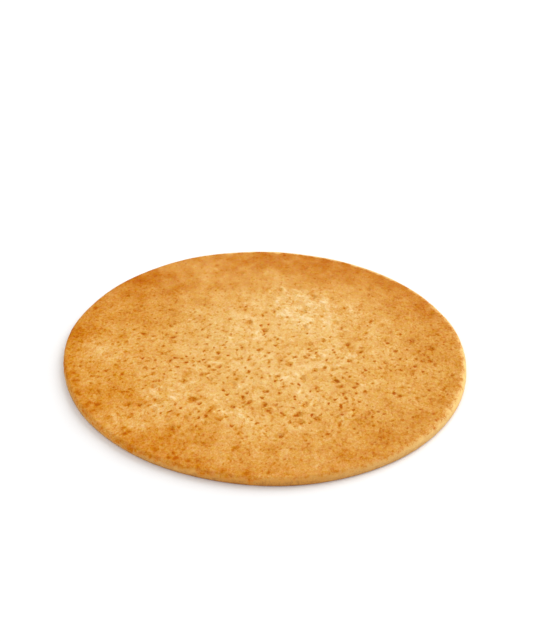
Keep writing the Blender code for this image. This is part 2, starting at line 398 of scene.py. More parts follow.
@dataclass
class Bread:
    """The whole khakhra as one closed mesh: a fine top face, a rounded rim and a coarser underside.

    Where a name ends in from, its two numbers are the places where an effect starts and where it is full. A
    slant or a side is a mean and its spread in radians. A heart, a spread and the palest place are along +X
    and +Y. The numbers of pit_burn are those of a beta distribution. Any other pair is a range.
    """

    outline: Outline = field(default_factory=Outline)
    thickness: float = 3.0 * MM
    top_rim_height: float = 1.8 * MM
    foot_height: float = 0.9 * MM
    shoulder_width: float = 6.0 * MM
    shoulder_drop: float = 0.12 * MM

    swell_lengths: tuple[float, ...] = (52.0 * MM, 41.0 * MM, 33.0 * MM, 27.0 * MM, 22.0 * MM, 18.0 * MM)
    swell_height: float = 0.08 * MM
    swell_seed: int = 11

    blister_count: int = 16
    blister_radii: tuple[float, float] = (2.8 * MM, 6.0 * MM)
    blister_height_share: float = 0.036
    blister_seed: int = 23

    top_pits: Pits = Pits(count=900, seed=37)
    under_pits: Pits = Pits(count=320, seed=41, clear_centre=9.0 * MM)
    pit_shape_seed: int = 1000
    pit_depth_share: float = 0.36
    pit_deep: tuple[float, float] = (0.4, 1.2)
    pit_slant: tuple[float, float] = (math.radians(68.0), math.radians(28.0))
    pit_stretch: tuple[float, float] = (1.1, 1.9)
    pit_ragged_seed: int = 7
    pit_ragged_cell: float = 0.8 * MM
    pit_ragged_share: float = 0.42
    pit_window: float = 3.0
    least_bowl: float = 0.02
    lip_height: float = 0.08
    lip_place: float = 1.25
    lip_width: float = 0.30
    pit_burn: tuple[float, float] = (1.45, 1.1)
    burn_least: float = 0.25
    burn_heart: tuple[float, float] = (2.0 * MM, -11.0 * MM)
    burn_spread: tuple[float, float] = (58.0 * MM, 38.0 * MM)
    lively_spread: tuple[float, float] = (82.0 * MM, 52.0 * MM)
    lively_patches: float = 0.15
    lively_cell: float = 12.0 * MM
    lively_seed: int = 103
    halo: float = 1.7
    halo_wide: tuple[float, float] = (0.75, 1.55)
    halo_skirt: float = 1.3
    core_half: tuple[float, float] = (0.30 * MM, 0.58 * MM)
    core_like: float = 0.7 * MM
    core_shift: float = 0.25

    hollow_lengths: tuple[float, ...] = (34.0 * MM, 26.0 * MM, 21.0 * MM, 17.0 * MM, 13.0 * MM)
    hollow_height: float = 0.12 * MM
    hollow_seed: int = 53
    flat_spot: float = 9.0 * MM

    wrinkle_groups: tuple[Wrinkles, ...] = (
        Wrinkles(x=12 * MM, y=23 * MM, spread=13 * MM, count=56, pucker=0.85),
        Wrinkles(x=-29 * MM, y=-25 * MM, spread=7 * MM, count=14, pucker=0.45),
        Wrinkles(x=18 * MM, y=-4 * MM, spread=9 * MM, count=14, pucker=0.5),
        Wrinkles(x=-8 * MM, y=-34 * MM, spread=9 * MM, count=14, pucker=0.35),
        Wrinkles(x=0 * MM, y=-8 * MM, spread=30 * MM, count=40, pucker=0.25),
    )
    wrinkle_seed: int = 73
    wrinkle_gather: float = 0.6
    wrinkle_slant: tuple[float, float] = (math.radians(-45.0), math.radians(40.0))
    wrinkle_bend: float = 0.08 / MM
    wrinkle_half_length: tuple[float, float] = (0.9 * MM, 2.3 * MM)
    wrinkle_width: tuple[float, float] = (0.34 * MM, 0.62 * MM)
    wrinkle_strength: tuple[float, float] = (0.3, 1.0)
    crease_height: float = 0.12 * MM
    grain_cell: float = 1.8 * MM
    grain_height: float = 0.05 * MM
    grain_seed: int = 97
    relief_fade: float = 0.05
    grainy_from: tuple[float, float] = (50.0 * MM, 16.0 * MM)
    grainy_least: float = 0.12
    grainy_dip: float = 0.42
    smooth_middle: float = 30.0 * MM

    rich_side: float = math.radians(208.0)
    rich_width: float = math.radians(62.0)
    rich_from: tuple[float, float] = (22.0 * MM, 46.0 * MM)

    palest: tuple[float, float] = (3.0 * MM, 1.0 * MM)
    toast_centre: float = 0.20
    toast_rise: float = 0.31
    toast_from: tuple[float, float] = (0.10, 1.02)
    brown_side: float = math.radians(62.0)
    brown_side_rise: float = 0.235
    brown_side_from: tuple[float, float] = (0.50, 1.0)
    mottles: tuple[tuple[float, float, int], ...] = ((0.045, 15.0 * MM, 83), (0.035, 5.0 * MM, 89))
    patches: tuple[Patch, ...] = tuple(
        Patch(x * MM, y * MM, radius * MM, brown)
        for x, y, radius, brown in (
            (12, 19, 9, -0.10), (-13, 16, 6, -0.07), (0, 25, 14, 0.05), (-29, -25, 6, -0.05),
            (-50, -3, 7, -0.11), (41, -21, 7, -0.07), (-5, -38, 8, -0.06), (16, -10, 6, -0.03),
            (-32, 20, 9, 0.07), (31, 14, 8, 0.05), (15, 40, 6, 0.07), (34, -40, 8, 0.06),
            (-57, -12, 5, 0.07), (0, -30, 15, -0.04), (-6, 1, 6, -0.05), (5, 0, 7, 0.04),
            (-40, 38, 9, 0.19), (0, 55, 8, 0.06), (-58, 5, 5, 0.26), (24, -54, 8, -0.03),
            (-22, -22, 11, -0.10), (24, -24, 10, -0.10), (34, 0, 9, -0.05), (-2, -44, 10, -0.09),
            (-38, -38, 9, -0.14), (-44, 2, 9, -0.06), (55, 10, 8, 0.04), (-47, -10, 14, -0.11),
            (-12, 9, 9, -0.03), (0, 45, 6, -0.06), (-27, -36, 6, -0.06), (-35, -49, 5, 0.13),
            (32, 32, 9, -0.09), (50, -20, 7, 0.06),
        )
    )
    edge_spot_count: int = 42
    edge_spot_seed: int = 113
    edge_spot_side: tuple[float, float] = (math.radians(230.0), math.radians(26.0))
    edge_spot_inset: tuple[float, float] = (1.4 * MM, 4.6 * MM)
    edge_spot_radius: tuple[float, float] = (0.45 * MM, 0.85 * MM)
    edge_spot_brown: tuple[float, float] = (0.10, 0.48)

    # The band's heights are partly painted light: at the back right it reaches the top edge as a painted
    # highlight, and at the front it climbs the rounded edge against that edge's shade.
    rim_places: tuple[RimPlace, ...] = (
        RimPlace(-180, 1.0, 0.35, 0.4),
        RimPlace(-155, 0.6, 0.25, 0.35),
        RimPlace(-130, 0.1, 0.30, 0.35),
        RimPlace(-110, 0.7, 0.20, 0.4),
        RimPlace(-98, 0.7, 0.08, 0.5),
        RimPlace(-87, 0.75, 0.10, 0.6),
        RimPlace(-78, 1.0, 0.12, 0.7),
        RimPlace(-65, 1.0, 0.40, 0.7),
        RimPlace(-48, 1.3, 0.56, 0.9),
        RimPlace(-35, 1.5, 0.78, 1.0),
        RimPlace(-20, 1.7, 0.97, 1.05),
        RimPlace(-5, 2.2, 0.95, 1.2),
        RimPlace(12, 2.0, 0.70, 1.2),
        RimPlace(35, 2.4, 0.60, 0.9),
        RimPlace(60, 2.8, 0.80, 0.7),
        RimPlace(105, 2.6, 0.80, 0.7),
        RimPlace(128, 1.4, 0.50, 0.6),
        RimPlace(150, 0.6, 0.35, 0.4),
    )
    scallop_cell: float = 1.5 * MM
    scallop_reach_mm: float = 0.50
    scallop_seed: int = 109
    side_rough_height: float = 0.05 * MM
    side_rough_cell: float = 1.6 * MM
    side_rough_seed: int = 101
    side_rough_from: tuple[float, float] = (0.0, 0.6 * MM)

    under_toast: float = 0.08
    under_lively: float = 0.6
    under_bare_and_lit: float = 2.0

    top_steps: int = 264
    upper_turns: int = 5
    lower_turns: int = 3
    middle_steps: int = 720

    centre: Array = field(init=False)

    def __post_init__(self) -> None:
        """Finds the middle of the outline's box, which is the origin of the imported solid."""
        angle = np.arange(0.0, TURN, TURN / self.middle_steps)
        plan = self.outline.radius(angle) * np.array([np.cos(angle), np.sin(angle)])
        self.centre = (plan.min(axis=1) + plan.max(axis=1)) / 2.0

    def smooth_top(self, x: Array, y: Array) -> Array:
        """Height of the top face without pits: the thickness, swell and blisters, less the shoulder's fall.

        The shoulder falls with the square of the distance into it. A blister is (1 - d^2) squared, for d from
        0 at its centre to 1 at its edge.

        Args:
            x: plan coordinates of the points along +X.
            y: the same along +Y.

        Returns:
            The height in metres at each point.
        """
        from_rim = self.outline.diameter / 2 - np.hypot(x, y)
        into_shoulder = np.clip(1.0 - from_rim / self.shoulder_width, 0.0, 1.0)
        height = self.thickness - self.shoulder_drop * into_shoulder**2
        height += plane_waves(x, y, self.swell_lengths, self.swell_height, self.swell_seed)
        rng = np.random.default_rng(self.blister_seed)
        for radius in np.linspace(self.blister_radii[1], self.blister_radii[0], self.blister_count):
            reach = (self.outline.diameter / 2 - 2.0 * radius) * math.sqrt(rng.uniform())
            angle = rng.uniform(0.0, TURN)
            from_middle = np.hypot(x - reach * math.cos(angle), y - reach * math.sin(angle)) / radius
            height += self.blister_height_share * radius * np.clip(1.0 - from_middle**2, 0.0, 1.0) ** 2
        return height

    def smooth_under(self, x: Array, y: Array) -> Array:
        """Height of the underside without pits: flat lands at zero, and shallow hollows between them.

        Args:
            x: plan coordinates of the points along +X.
            y: the same along +Y.

        Returns:
            The height in metres at each point.
        """
        waves = plane_waves(x, y, self.hollow_lengths, self.hollow_height, self.hollow_seed)
        reach = np.hypot(x, y)
        inside = np.clip((reach - self.flat_spot) / self.flat_spot, 0.0, 1.0)
        margin = self.under_pits.margin
        outside = np.clip((self.outline.diameter / 2 - margin - reach) / margin, 0.0, 1.0)
        return np.maximum(waves - self.hollow_height / 2.0, 0.0) * inside * outside

    def near_heart(self, x: Array | float, y: Array | float, spread: tuple[float, float]) -> Array | float:
        """How near points are to the heart of the burning: exp(-d^4), with d 1 on an oval of this spread."""
        d = np.hypot((x - self.burn_heart[0]) / spread[0], (y - self.burn_heart[1]) / spread[1])
        return np.exp(-(d**4))

    @staticmethod
    def turned(x: Array, y: Array, slant: float) -> tuple[Array, Array]:
        """Distances along and across a line at this slant."""
        return x * math.cos(slant) + y * math.sin(slant), y * math.cos(slant) - x * math.sin(slant)

    def pit_fields(self, x: Array, y: Array, pits: Pits) -> tuple[Array, dict[Mark, Array]]:
        """Depth and scorching from the pits of one face.

        Each pit is an oval of its own slant, its edge made ragged by noise. With u from 0 at its centre to 1
        at its edge, it is (1 - u^2)^2 deep, with a low lip outside. Its cone of scorching is 1 - u / halo,
        times a breadth of its own. Its burnt core is smaller, an oval of like slant a little off its middle.
        Where cones meet, the one that burns harder is kept.

        Args:
            x: plan coordinates of the points.
            y: the same.
            pits: which pits.

        Returns:
            The depth in metres, negative on a lip, and the marks of the pits.
        """
        rng = np.random.default_rng(pits.seed + self.pit_shape_seed)
        flat = np.column_stack([x, y, np.zeros_like(x)])
        ragged = fractal_noise(flat, self.pit_ragged_cell, 2, pits.seed + self.pit_ragged_seed)
        depth = np.zeros_like(x)
        marks = {mark: np.zeros_like(x) for mark in (Mark.CHAR, Mark.BURN, Mark.ALONG, Mark.ACROSS)}
        char, burn = marks[Mark.CHAR], marks[Mark.BURN]
        for centre_x, centre_y, half in pits.scatter(self.outline.diameter):
            slant, stretch = rng.normal(*self.pit_slant), rng.uniform(*self.pit_stretch)
            deep, burnt = rng.uniform(*self.pit_deep), rng.beta(*self.pit_burn)
            heat = float(self.near_heart(centre_x, centre_y, self.burn_spread))
            burnt *= self.burn_least + (1.0 - self.burn_least) * heat
            core = rng.uniform(*self.core_half) * math.sqrt(half / self.core_like)
            wide = rng.uniform(*self.halo_wide)
            shift_along, shift_across = rng.normal(0.0, self.core_shift * half, 2)
            window = self.pit_window * half
            near = np.flatnonzero((np.abs(x - centre_x) < window) & (np.abs(y - centre_y) < window))
            along, across = self.turned(x[near] - centre_x, y[near] - centre_y, slant)
            long, short = math.sqrt(stretch), 1.0 / math.sqrt(stretch)
            u = np.hypot(along / long, across / short) / half * (1.0 + self.pit_ragged_share * ragged[near])
            lip = self.lip_height * np.exp(-(((u - self.lip_place) / self.lip_width) ** 2))
            bowl = np.clip(1.0 - u**2, 0.0, 1.0) ** 2 - lip
            bowl = np.where(np.abs(bowl) > self.least_bowl, bowl, 0.0)
            depth[near] += bowl * deep * half * self.pit_depth_share
            cone = wide * (1.0 - u / self.halo)
            rises = burnt * cone > burn[near] * char[near]
            taken = rises | ((u < self.halo_skirt * self.halo) & (burn[near] == 0.0))
            char[near[rises]] = cone[rises]
            burn[near[taken]] = burnt
            marks[Mark.ALONG][near[taken]] = ((along + shift_along) / long / core)[taken]
            marks[Mark.ACROSS][near[taken]] = ((across + shift_across) / short / core)[taken]
        return depth, marks

    def creases(self, x: Array, y: Array) -> Array:
        """Raised creases, from 0 to 1, where the skin of the dough wrinkled; their paleness is partly painted
        highlight.

        Each is a bent stroke: across its width it is exp(-(d / width)^2), and along it 1 - (l / half)^2.

        Args:
            x: plan coordinates of the points along +X.
            y: the same along +Y.

        Returns:
            The height of a crease at each point, as in Mark.
        """
        rng = np.random.default_rng(self.wrinkle_seed)
        crest = np.zeros_like(x)
        for group in self.wrinkle_groups:
            for _ in range(group.count):
                centre_x, centre_y = rng.normal((group.x, group.y), self.wrinkle_gather * group.spread)
                slant, bend = rng.normal(*self.wrinkle_slant), rng.normal(0.0, self.wrinkle_bend)
                half, width = rng.uniform(*self.wrinkle_half_length), rng.uniform(*self.wrinkle_width)
                strength, window = rng.uniform(*self.wrinkle_strength), half + width
                near = np.flatnonzero((np.abs(x - centre_x) < window) & (np.abs(y - centre_y) < window))
                along, across = self.turned(x[near] - centre_x, y[near] - centre_y, slant)
                across += bend * along**2
                stroke = np.clip(1.0 - (along / half) ** 2, 0.0, 1.0) * np.exp(-((across / width) ** 2))
                crest[near] = np.maximum(crest[near], strength * stroke)
        return crest

    def puckering(self, x: Array, y: Array) -> Array:
        """Where the skin puckered: the most of each group's pucker times exp(-(distance / spread)^2).

        Args:
            x: plan coordinates of the points along +X.
            y: the same along +Y.

        Returns:
            The puckering at each point, as in Mark.
        """
        total = np.zeros_like(x)
        for group in self.wrinkle_groups:
            away = np.hypot(x - group.x, y - group.y) / group.spread
            total = np.maximum(total, group.pucker * np.exp(-(away**2)))
        return total

    def toasting(self, x: Array, y: Array) -> Array:
        """How brown the crust is: palest near the middle, browner outwards and towards the back right, and
        mottled.

        Brown spots sit along the upper edge of the rim, round the azimuth edge_spot_side.

        Args:
            x: plan coordinates of the points along +X.
            y: the same along +Y.

        Returns:
            The browning at each point, as in Mark.
        """
        points = np.column_stack([x, y, np.zeros_like(x)])
        radius = self.outline.diameter / 2
        outwards = np.hypot(x - self.palest[0], y - self.palest[1]) / radius
        towards_brown_side = (x * math.cos(self.brown_side) + y * math.sin(self.brown_side)) / radius
        brown = self.toast_centre + self.toast_rise * smooth_step(outwards, *self.toast_from)
        brown += self.brown_side_rise * smooth_step(towards_brown_side, *self.brown_side_from)
        for patch in self.patches:
            brown += patch.brown * patch.amount(x, y)
        for amount, cell, seed in self.mottles:
            brown += amount * fractal_noise(points, cell, 2, seed)
        rng = np.random.default_rng(self.edge_spot_seed)
        for _ in range(self.edge_spot_count):
            angle, inset = rng.normal(*self.edge_spot_side), rng.uniform(*self.edge_spot_inset)
            wide, amount = rng.uniform(*self.edge_spot_radius), rng.uniform(*self.edge_spot_brown)
            reach = radius - inset
            spot = Patch(reach * math.cos(angle), reach * math.sin(angle), wide, amount)
            brown += spot.brown * spot.amount(x, y)
        return brown

    def liveliness(self, x: Array, y: Array) -> Array:
        """Where the dough bubbled: 1 round the heart of the burning, falling to 0 at the rim, in patches.

        Args:
            x: plan coordinates of the points along +X.
            y: the same along +Y.

        Returns:
            The liveliness at each point, from 0 to 1.
        """
        points = np.column_stack([x, y, np.zeros_like(x)])
        patchy = self.lively_patches * fractal_noise(points, self.lively_cell, 2, self.lively_seed)
        return np.clip(self.near_heart(x, y, self.lively_spread) + patchy, 0.0, 1.0)

    def graininess(self, x: Array, y: Array) -> Array:
        """How much the grain shows: least on the smooth side towards +Y, and less round the middle.

        Args:
            x: plan coordinates of the points along +X.
            y: the same along +Y.

        Returns:
            The graininess at each point.
        """
        far_side = smooth_step(y, *self.grainy_from)
        middle = np.exp(-(x**2 + y**2) / self.smooth_middle**2)
        return self.grainy_least + (1.0 - self.grainy_least) * far_side - self.grainy_dip * middle

    def richness(self, x: Array, y: Array) -> Array:
        """Where the crust is of a purer orange: away from the middle, round the azimuth rich_side."""
        turn = turn_between(np.arctan2(y, x), self.rich_side)
        return np.exp(-((turn / self.rich_width) ** 2)) * smooth_step(np.hypot(x, y), *self.rich_from)

    def bare_and_lit_band(self, x: Array, y: Array, brow: Array) -> tuple[Array, Array]:
        """How far a point lies in the pale band on the side of the rim, and how cream that band is.

        The band is partly the side's own unroasted colour and partly painted light. Its border with the
        roasted top runs round the rim at the heights of rim_places, in scallops.

        Args:
            x: plan coordinates of the points along +X.
            y: the same along +Y.
            brow: distance of each point from the outermost line of the rim, as in Mark.

        Returns:
            The distance below the border over the width that it is feathered to, and the cream, as in Mark.
        """
        angle = np.arctan2(y, x)
        places = np.radians([place.azimuth for place in self.rim_places])
        level, cream, feather = (
            np.interp(angle, places, [getattr(place, name) for place in self.rim_places], period=TURN)
            for name in ("bare_and_lit_to", "cream", "feather")
        )
        ring = np.column_stack([np.cos(angle), np.sin(angle), np.zeros_like(angle)])
        ring = ring * self.outline.diameter / 2
        scallops = self.scallop_reach_mm * fractal_noise(ring, self.scallop_cell, 2, self.scallop_seed)
        return (level - brow + scallops) / feather, cream

    @staticmethod
    def rim_arc(width: Array | float, height: float, turn: float) -> Array | float:
        """Millimetres of a rounding's arc over a turn: the mean of its width and height times the turn."""
        return 0.5 * (width + height) * turn / MM

    def top_face(self) -> tuple[Array, dict[Mark, Array]]:
        """The points of the top face and their marks: the disc grid, scaled to the rounding of the rim.

        Returns:
            The points, an array (n, 3) in metres, and their marks.
        """
        share, angle = disc_grid(self.top_steps)
        reach = self.outline.radius(angle) - self.outline.top_rounding(angle)
        x, y = share * reach * np.cos(angle), share * reach * np.sin(angle)
        depth, pit_marks = self.pit_fields(x, y, self.top_pits)
        crease = self.creases(x, y)
        fade = smooth_step(1.0 - share, 0.0, self.relief_fade)
        points = np.column_stack([x, y, np.zeros_like(x)])
        grain = fractal_noise(points, self.grain_cell, 2, self.grain_seed) * self.grain_height
        height = self.smooth_top(x, y) - depth + (self.crease_height * crease + grain) * fade
        arc = self.rim_arc(self.outline.top_rounding(angle), self.top_rim_height, math.pi / 2)
        brow = reach * (1.0 - share) / MM + arc
        bare_and_lit, cream = self.bare_and_lit_band(x, y, brow)
        marks = pit_marks | {
            Mark.TOAST: self.toasting(x, y),
            Mark.CREASE: crease,
            Mark.PUCKER: self.puckering(x, y),
            Mark.LIVELY: self.liveliness(x, y),
            Mark.GRAINY: self.graininess(x, y),
            Mark.RICH: self.richness(x, y),
            Mark.BROW: brow,
            Mark.BARE_AND_LIT: bare_and_lit,
            Mark.CREAM: cream,
        }
        return np.column_stack([x, y, height]), marks

    def under_face(self) -> tuple[Array, dict[Mark, Array]]:
        """The points of the underside and their marks, on a disc grid of half as many steps.

        Returns:
            The points, an array (n, 3) in metres, and their marks.
        """
        share, angle = disc_grid(self.top_steps // 2)
        reach = self.outline.radius(angle) - self.outline.foot_width
        x, y = share * reach * np.cos(angle), share * reach * np.sin(angle)
        depth, pit_marks = self.pit_fields(x, y, self.under_pits)
        height = np.maximum(self.smooth_under(x, y) + depth, 0.0)
        arc = self.rim_arc(self.outline.foot_width, self.foot_height, math.pi / 2)
        brow = -reach * (1.0 - share) / MM - arc
        none = np.zeros_like(x)
        marks = pit_marks | {
            Mark.TOAST: self.toasting(-x, y) + self.under_toast,
            Mark.CREASE: none,
            Mark.PUCKER: none,
            Mark.LIVELY: self.under_lively * self.liveliness(-x, y),
            Mark.GRAINY: self.graininess(-x, y),
            Mark.RICH: none,
            Mark.BROW: brow,
            Mark.BARE_AND_LIT: np.full_like(x, self.under_bare_and_lit),
            Mark.CREAM: self.bare_and_lit_band(x, y, brow)[1],
        }
        return np.column_stack([x, y, height]), marks

    def rim(self) -> tuple[Array, dict[Mark, Array], int]:
        """The rings of the rim between the two faces, from the top one down.

        A ring of the upper rounding lies at a turn t, from 0 on the top face to a quarter turn on the side:
        it is inset by width (1 - sin t) and lies top_rim_height (1 - cos t) below the top face. The foot is
        the same upside down.

        Returns:
            The points, their marks, and the number of rings.
        """
        count = 4 * self.top_steps
        angle = np.arange(count) * TURN / count
        outer, upper = self.outline.radius(angle), self.outline.top_rounding(angle)
        top = self.smooth_top((outer - upper) * np.cos(angle), (outer - upper) * np.sin(angle))
        foot = self.outline.foot_width
        insets, levels, brows = [], [], []
        for t in np.arange(1, self.upper_turns + 1) * math.pi / 2 / self.upper_turns:
            insets.append(upper * (1.0 - math.sin(t)))
            levels.append(top - self.top_rim_height * (1.0 - math.cos(t)))
            brows.append(self.rim_arc(upper, self.top_rim_height, math.pi / 2 - t))
        for t in np.arange(self.lower_turns, 0, -1) * math.pi / 2 / self.lower_turns:
            insets.append(np.full(count, foot * (1.0 - math.sin(t))))
            levels.append(np.full(count, self.foot_height * (1.0 - math.cos(t))))
            brows.append(np.full(count, -self.rim_arc(foot, self.foot_height, math.pi / 2 - t)))
        inset, level, brow = np.concatenate(insets), np.concatenate(levels), np.concatenate(brows)
        rings = self.upper_turns + self.lower_turns
        around = np.tile(angle, rings)
        away = np.tile(outer, rings) - inset
        points = np.column_stack([away * np.cos(around), away * np.sin(around), level])
        rough = self.side_rough_height * fractal_noise(points, self.side_rough_cell, 2, self.side_rough_seed)
        rough *= smooth_step(level, *self.side_rough_from)
        points[:, 0] += rough * np.cos(around)
        points[:, 1] += rough * np.sin(around)
        x, y = points[:, 0], points[:, 1]
        bare_and_lit, cream = self.bare_and_lit_band(x, y, brow)
        marks = {mark: np.zeros_like(level) for mark in Mark} | {
            Mark.TOAST: self.toasting(x, y),
            Mark.GRAINY: self.graininess(x, y),
            Mark.RICH: self.richness(x, y),
            Mark.BROW: brow,
            Mark.BARE_AND_LIT: bare_and_lit,
            Mark.CREAM: cream,
        }
        return points, marks, rings

    def mesh(self) -> bpy.types.Mesh:
        """Joins the two faces and the rim into one closed mesh, with its marks as attributes.

        The rim's rings are strips of quads. The underside's border has half as many points, so the last strip
        has three triangles for each of its steps.

        Returns:
            The mesh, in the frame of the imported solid.
        """
        top, top_marks = self.top_face()
        rim, rim_marks, rings = self.rim()
        under, under_marks = self.under_face()
        count = 4 * self.top_steps
        rim_start, under_start = len(top), len(top) + len(rim)

        loops = [grid_border(self.top_steps)]
        loops += [rim_start + ring * count + np.arange(count) for ring in range(rings)]
        strips = [
            np.stack([low, np.roll(low, -1), np.roll(high, -1), high], axis=-1)
            for high, low in zip(loops, loops[1:])
        ]
        quads = np.concatenate(
            [grid_quads(self.top_steps), *strips, under_start + grid_quads(self.top_steps // 2)[:, ::-1]]
        )
        inner = under_start + grid_border(self.top_steps // 2)
        first, middle, last = loops[-1][0::2], loops[-1][1::2], np.roll(loops[-1][0::2], -1)
        following = np.roll(inner, -1)
        triangles = np.concatenate(
            [
                np.stack([inner, middle, first], axis=-1),
                np.stack([inner, following, middle], axis=-1),
                np.stack([following, last, middle], axis=-1),
            ]
        )

        points = np.concatenate([top, rim, under])
        points[:, :2] -= self.centre
        mesh = bpy.data.meshes.new("khakhra_bread")
        mesh.from_pydata(points.tolist(), [], quads.tolist() + triangles.tolist())
        for mark in Mark:
            values = np.concatenate([top_marks[mark], rim_marks[mark], under_marks[mark]])
            layer = mesh.attributes.new(mark.value, "FLOAT", "POINT")
            layer.data.foreach_set("value", values.astype(np.float32))
        mesh.shade_smooth()
        mesh.validate()
        mesh.update()
        return mesh

    def build(self, finish: "RoastedCrust") -> bpy.types.Object:
        """Makes the bread's object, dresses it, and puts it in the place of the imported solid.

        Args:
            finish: the crust that covers it.

        Returns:
            The object.
        """
        bread = bpy.data.objects.new("khakhra_bread", self.mesh())
        bpy.context.scene.collection.objects.link(bread)
        bread.data.materials.append(finish.material())
        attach(bread, "root")
        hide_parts("khakhra")
        return bread


@dataclass(frozen=True)
class RoastedCrust:
    """Wheat dough, rolled thin, pressed and roasted dry: a matt, floury crust that browned where it touched.

    All browning, from the whole crust down to the scorched bubbles, runs through one row of colours, and each
    share says how far a pattern moves along it. Sizes and cells of patterns are in millimetres. Where a name
    ends in from, its two numbers are the places where an effect starts and where it is full. Other pairs
    without a comment are the two ends between which a value goes.
    """

    browning: tuple[tuple[float, str], ...] = (
        (0.00, "EECE99"),
        (0.09, "EAC589"),
        (0.27, "E1B169"),
        (0.45, "D79B4B"),
        (0.64, "CA8531"),
        (0.82, "BE7015"),
        (1.00, "B25800"),
    )
    browning_from: tuple[float, float] = (-0.1, 1.0)
    tan: tuple[str, str] = ("935523", "DB9A42")  # at the foot of the rim, and at its top: darker at the foot as painted shade, lighter at the top as painted light
    cream: tuple[str, str] = ("E6AF66", "F5D48C")  # the same, with the same painted shade at the foot and painted light at the top

    pits_drawn: tuple[float, float] = (math.radians(84.0), 1.25)  # the line's slant, and the stretch along it
    creases_drawn: tuple[float, float] = (math.radians(-46.0), 1.35)  # the same

    fleck_share: float = 0.24
    fleck_crowding: float = 0.08
    fleck_from: tuple[float, float] = (0.60, 0.78)

    hole_share: float = 0.46
    hole_cell: float = 1.6
    hole_often: tuple[float, float] = (0.50, 1.0)
    hole_largest: float = 0.36
    hole_ragged: float = 0.30
    hole_crowding: float = 0.7
    hole_from: tuple[float, float] = (-0.15, 0.12)

    halo_share: float = 0.36
    halo_from: tuple[float, float] = (0.10, 0.72)
    core_share: float = 0.94
    core_from: tuple[float, float] = (1.45, 0.35)
    core_bend: float = 4.0
    core_bend_size: float = 0.9

    # Creases and swellings are raised relief, and the paleness these shares give them is partly painted
    # highlight.
    crease_share: float = -0.30
    swelling_share: float = -0.32
    swelling_from: tuple[float, float] = (0.46, 0.64)

    blotch_share: float = 1.10
    blotch_strength: tuple[float, float] = (0.86, 0.66)
    fine_share: float = 0.67
    flour_share: float = 0.9

    tint_size: float = 1.4
    hue: tuple[float, float] = (0.519, 0.475)
    hue_lively: float = 0.005
    hue_rich: float = -0.004
    saturation: tuple[float, float] = (0.93, 1.07)
    saturation_rich: float = 0.03

    side_from: tuple[float, float] = (-1.0, 1.2)
    side_patterns: tuple[float, float] = (0.9, 1.0)  # shares of the mottle and of the fine pattern
    border_patterns: tuple[float, float] = (-2.4, -2.2)  # the same
    border_from: tuple[float, float] = (-2.2, -0.2)
    under_from: tuple[float, float] = (-2.0, -1.2)

    blotch_relief: float = 0.16 * MM
    grain_relief: float = 0.10 * MM
    flour_relief: float = 0.04 * MM
    fleck_dent: float = -0.4
    hole_dent: float = -0.8
    swelling_rise: float = 1.2
    roughness: tuple[float, float] = (0.60, 0.80)
    specular: float = 0.04

    @staticmethod
    def noises(tree: bpy.types.NodeTree, spot: Socket, drawn: Socket, creased: Socket) -> Noises:
        """The noises: blotches, flecks, the grain, the flour's finest roughness, and the skin's swellings.

        Args:
            tree: the node tree.
            spot: the place on the bread.
            drawn: the place, drawn out along the line of the pits.
            creased: the place, drawn out along the line of the creases.

        Returns:
            Each noise, from 0 to 1, by its name.
        """
        noises = {}
        for name, vector, size, detail, rough in (
            ("mottle", drawn, 4.4, 5.0, 0.62),
            ("flecks", drawn, 1.15, 2.0, 0.55),
            ("grain", drawn, 0.75, 2.0, 0.60),
            ("flour", spot, 0.36, 2.0, 0.60),
            ("skin", creased, 1.9, 2.0, 0.55),
        ):
            links = {"Vector": vector, "Scale": PER_MM / size, "Detail": detail, "Roughness": rough}
            noises[name] = add_node(tree, "TexNoise", links).outputs["Fac"]
        return noises

    def flecks(self, tree: bpy.types.NodeTree, marks: Marks, noises: Noises) -> Socket:
        """Flecks, from 0 to 1: the tops of their noise, more of them where the dough was lively.

        Args:
            tree: the node tree.
            marks: the mesh's marks, as sockets.
            noises: the noises, by name.

        Returns:
            The flecks.
        """
        links = {0: marks[Mark.LIVELY], 1: self.fleck_crowding, 2: noises["flecks"]}
        top = add_node(tree, "Math", links, operation="MULTIPLY_ADD").outputs[0]
        links = {"Value": top, "From Min": self.fleck_from[0], "From Max": self.fleck_from[1]}
        return add_node(tree, "MapRange", links, interpolation_type="SMOOTHSTEP").outputs[0]

    def pinholes(self, tree: bpy.types.NodeTree, marks: Marks, noises: Noises, drawn: Socket) -> Socket:
        """Pinholes, from 0 to 1: one in some of the cells of a scatter, each with its own size.

        Args:
            tree: the node tree.
            marks: the mesh's marks, as sockets.
            noises: the noises, by name.
            drawn: the place, drawn out along the line of the pits.

        Returns:
            The pinholes.
        """
        links = {"Vector": drawn, "Scale": PER_MM / self.hole_cell, "Randomness": 1.0}
        cells = add_node(tree, "TexVoronoi", links)
        size = add_node(tree, "SeparateColor", {"Color": cells.outputs["Color"]}).outputs[0]
        few, many = self.hole_often
        links = {"Value": size, "From Min": few, "From Max": many, "To Max": self.hole_largest}
        reach = add_node(tree, "MapRange", links).outputs[0]
        links = {0: marks[Mark.PUCKER], 1: self.hole_crowding, 2: marks[Mark.LIVELY]}
        crowd = add_node(tree, "Math", links, operation="MULTIPLY_ADD").outputs[0]
        reach = add_node(tree, "Math", {0: reach, 1: crowd}, operation="MULTIPLY").outputs[0]
        links = {0: noises["grain"], 1: self.hole_ragged, 2: cells.outputs["Distance"]}
        away = add_node(tree, "Math", links, operation="MULTIPLY_ADD").outputs[0]
        within = add_node(tree, "Math", {0: reach, 1: away}, operation="SUBTRACT").outputs[0]
        links = {"Value": within, "From Min": self.hole_from[0], "From Max": self.hole_from[1]}
        return add_node(tree, "MapRange", links).outputs[0]

